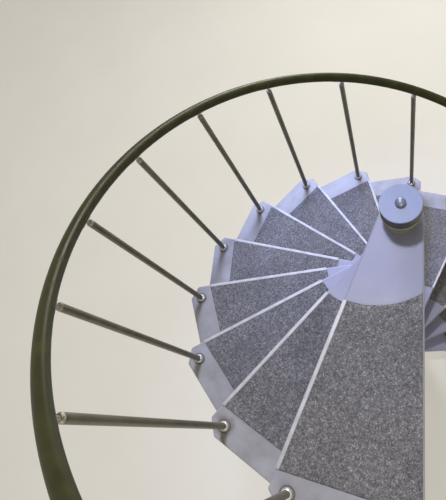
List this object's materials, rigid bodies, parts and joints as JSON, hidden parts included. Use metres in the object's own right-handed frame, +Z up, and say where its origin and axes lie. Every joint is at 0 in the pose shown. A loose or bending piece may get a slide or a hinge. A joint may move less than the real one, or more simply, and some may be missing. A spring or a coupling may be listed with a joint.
{
  "type": "spiral staircase",
  "caption": "Steel spiral stair: folded wedge treads with grit mats on a centre column, a baluster at each tread and a helical handrail.",
  "frame": {"origin": "centre of the base flange's underside, on the lower floor", "axes": "+Z up along the column; +X from the column through the top tread's front baluster; seen from above the stair climbs counter-clockwise"},
  "size_m": [1.8292, 1.7509, 3.6859],
  "materials": {
    "tread_paint": "satin light grey paint, worn and stained",
    "column_paint": "satin grey paint",
    "grit_mat": "rough speckled grit mat",
    "nosing_metal": "satin",
    "baluster_metal": "satin grey-brown paint",
    "foot_metal": "satin zinc plated, with rust",
    "rail_finish": "semi-gloss dark olive paint",
    "seal": "matte",
    "ring_rubber": "matte black",
    "nut_metal": "polished"
  },
  "bodies": {
    "root": {"base_flange": "column_paint", "centre_column": "column_paint", "column_spacers": "column_paint", "tread_01": "tread_paint", "tread_02": "tread_paint", "tread_03": "tread_paint", "tread_04": "tread_paint", "tread_05": "tread_paint", "tread_06": "tread_paint", "tread_07": "tread_paint", "tread_08": "tread_paint", "tread_09": "tread_paint", "tread_10": "tread_paint", "tread_11": "tread_paint", "tread_12": "tread_paint", "tread_13": "tread_paint", "tread_mats": "grit_mat", "nosing_strips": "nosing_metal", "baluster_01": "baluster_metal", "baluster_02": "baluster_metal", "baluster_03": "baluster_metal", "baluster_04": "baluster_metal", "baluster_05": "baluster_metal", "baluster_06": "baluster_metal", "baluster_07": "baluster_metal", "baluster_08": "baluster_metal", "baluster_09": "baluster_metal", "baluster_10": "baluster_metal", "baluster_11": "baluster_metal", "baluster_12": "baluster_metal", "baluster_13": "baluster_metal", "baluster_feet": "foot_metal", "baluster_heads": "baluster_metal", "floor_plate": "foot_metal", "handrail": "rail_finish", "rail_end_caps": "rail_finish", "seal_ring": "seal", "cap_ring": "ring_rubber", "column_cap": "tread_paint", "cap_nut": "nut_metal"}
  },
  "joints": []
}
